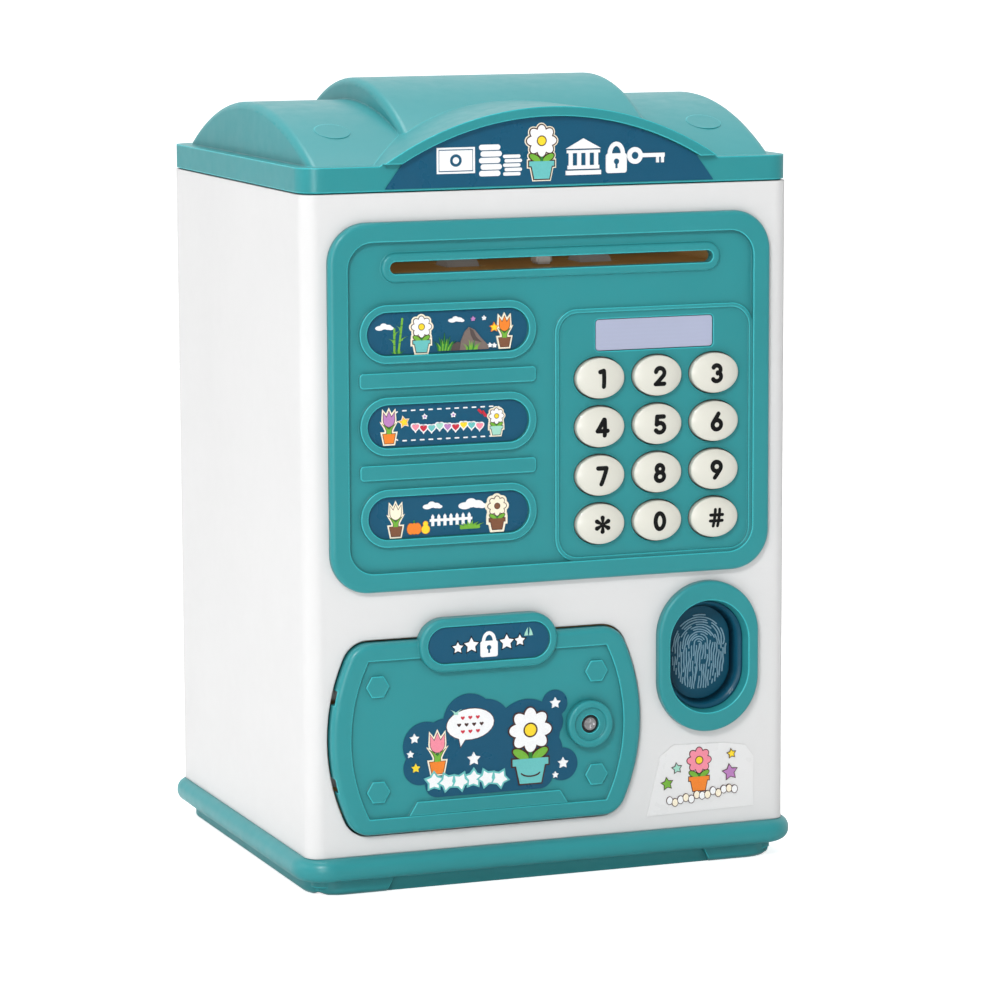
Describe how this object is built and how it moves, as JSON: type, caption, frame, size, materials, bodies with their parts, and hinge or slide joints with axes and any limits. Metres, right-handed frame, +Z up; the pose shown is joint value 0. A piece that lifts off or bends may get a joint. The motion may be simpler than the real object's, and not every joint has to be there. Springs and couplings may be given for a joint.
{
  "type": "toy cash-machine savings bank",
  "caption": "Toy cash-machine money box with a keypad panel, note slot, fingerprint pad, hinged safe door, vaulted roof with a coin slot and a motor-driven note feed.",
  "frame": {"origin": "underside of the foot, under the middle of the base flange", "axes": "+X to the right, +Y to the back, +Z up; the front looks along -Y"},
  "size_m": [0.135, 0.1161, 0.2],
  "materials": {
    "teal_plastic": "satin moulded ABS",
    "white_plastic": "satin moulded ABS",
    "key_plastic": "gloss",
    "lilac_window": "translucent, smooth",
    "label_vinyl": "printed vinyl",
    "blue_gloss": "high gloss",
    "tan_plastic": "matte",
    "dark_plastic": "matte",
    "gear_nylon": "matte",
    "grey_rubber": "matte",
    "circuit_board": "solder mask",
    "battery_wrap": "printed sleeve",
    "brass": "turned",
    "steel": "zinc plated",
    "chrome": "plated"
  },
  "bodies": {
    "case": {"main_case": "white_plastic", "base_tray": "teal_plastic", "base_screws": "steel", "battery_door": "teal_plastic", "battery_door_screw": "steel", "aa_batteries": "battery_wrap", "battery_springs": "steel", "battery_contacts": "steel", "speaker": "dark_plastic", "roof_cover": "teal_plastic", "sign_plate": "label_vinyl", "front_panel": "teal_plastic", "display_window": "lilac_window", "keypad_board": "circuit_board", "board_screws": "steel", "keypad_membrane": "grey_rubber", "display_module": "dark_plastic", "badge_top": "label_vinyl", "badge_middle": "label_vinyl", "badge_bottom": "label_vinyl", "hinge_bracket": "white_plastic", "latch_solenoid": "dark_plastic", "money_bin": "tan_plastic", "fingerprint_bezel": "teal_plastic", "reader_housing": "dark_plastic", "touch_switch": "dark_plastic", "front_label": "label_vinyl", "feed_frame": "tan_plastic", "feed_frame_screws": "steel", "feed_motor": "steel", "gear_stud": "steel", "main_board": "circuit_board"},
    "door": {"safe_door": "teal_plastic", "door_hinge_pins": "steel", "door_knob": "teal_plastic", "knob_screw": "chrome", "door_hook": "dark_plastic", "tag_plate": "label_vinyl", "door_sticker": "label_vinyl"},
    "latch": {"latch_bolt": "dark_plastic"},
    "touch_pad": {"fingerprint_pad": "blue_gloss"},
    "feed_roller": {"feed_shaft": "steel", "feed_wheels": "grey_rubber", "roller_gear": "gear_nylon"},
    "idler": {"idler_shaft": "steel", "idler_wheels": "grey_rubber"},
    "compound": {"compound_gear": "gear_nylon"},
    "pinion": {"motor_pinion": "brass"},
    "button_1": {"key_1": "key_plastic"},
    "button_2": {"key_2": "key_plastic"},
    "button_3": {"key_3": "key_plastic"},
    "button_4": {"key_4": "key_plastic"},
    "button_5": {"key_5": "key_plastic"},
    "button_6": {"key_6": "key_plastic"},
    "button_7": {"key_7": "key_plastic"},
    "button_8": {"key_8": "key_plastic"},
    "button_9": {"key_9": "key_plastic"},
    "button_star": {"key_star": "key_plastic"},
    "button_0": {"key_0": "key_plastic"},
    "button_hash": {"key_hash": "key_plastic"}
  },
  "joints": [
    {"name": "door_hinge", "type": "hinge", "parent": "case", "child": "door", "pos_m": [-0.0555, -0.0552, 0.0395], "axis": [0, 0, -1], "range_deg": [0, 90]},
    {"name": "bolt_slide", "type": "slide", "parent": "case", "child": "latch", "axis": [-1, 0, 0], "range_m": [0, 0.005], "stiffness_N_per_m": 10},
    {"name": "touch_press", "type": "slide", "parent": "case", "child": "touch_pad", "axis": [0, 1, 0], "range_m": [0, 0.0008], "stiffness_N_per_m": 300},
    {"name": "roller_spin", "type": "hinge", "parent": "case", "child": "feed_roller", "pos_m": [0, -0.036, 0.1502], "axis": [1, 0, 0], "continuous": true},
    {"name": "idler_spin", "type": "hinge", "parent": "case", "child": "idler", "pos_m": [0, -0.036, 0.1606], "axis": [1, 0, 0], "continuous": true},
    {"name": "compound_spin", "type": "hinge", "parent": "case", "child": "compound", "pos_m": [0.05, -0.02524, 0.14926], "axis": [1, 0, 0], "continuous": true},
    {"name": "pinion_spin", "type": "hinge", "parent": "case", "child": "pinion", "pos_m": [0.05, -0.03399, 0.14019], "axis": [1, 0, 0], "continuous": true},
    {"name": "press_1", "type": "slide", "parent": "case", "child": "button_1", "axis": [0, 1, 0], "range_m": [0, 0.0012], "stiffness_N_per_m": 150},
    {"name": "press_2", "type": "slide", "parent": "case", "child": "button_2", "axis": [0, 1, 0], "range_m": [0, 0.0012], "stiffness_N_per_m": 150},
    {"name": "press_3", "type": "slide", "parent": "case", "child": "button_3", "axis": [0, 1, 0], "range_m": [0, 0.0012], "stiffness_N_per_m": 150},
    {"name": "press_4", "type": "slide", "parent": "case", "child": "button_4", "axis": [0, 1, 0], "range_m": [0, 0.0012], "stiffness_N_per_m": 150},
    {"name": "press_5", "type": "slide", "parent": "case", "child": "button_5", "axis": [0, 1, 0], "range_m": [0, 0.0012], "stiffness_N_per_m": 150},
    {"name": "press_6", "type": "slide", "parent": "case", "child": "button_6", "axis": [0, 1, 0], "range_m": [0, 0.0012], "stiffness_N_per_m": 150},
    {"name": "press_7", "type": "slide", "parent": "case", "child": "button_7", "axis": [0, 1, 0], "range_m": [0, 0.0012], "stiffness_N_per_m": 150},
    {"name": "press_8", "type": "slide", "parent": "case", "child": "button_8", "axis": [0, 1, 0], "range_m": [0, 0.0012], "stiffness_N_per_m": 150},
    {"name": "press_9", "type": "slide", "parent": "case", "child": "button_9", "axis": [0, 1, 0], "range_m": [0, 0.0012], "stiffness_N_per_m": 150},
    {"name": "press_star", "type": "slide", "parent": "case", "child": "button_star", "axis": [0, 1, 0], "range_m": [0, 0.0012], "stiffness_N_per_m": 150},
    {"name": "press_0", "type": "slide", "parent": "case", "child": "button_0", "axis": [0, 1, 0], "range_m": [0, 0.0012], "stiffness_N_per_m": 150},
    {"name": "press_hash", "type": "slide", "parent": "case", "child": "button_hash", "axis": [0, 1, 0], "range_m": [0, 0.0012], "stiffness_N_per_m": 150}
  ],
  "couplings": [
    {"joint": "idler_spin", "follows": "roller_spin", "ratio": -1.55},
    {"joint": "compound_spin", "follows": "roller_spin", "ratio": -2},
    {"joint": "pinion_spin", "follows": "roller_spin", "ratio": 5}
  ]
}
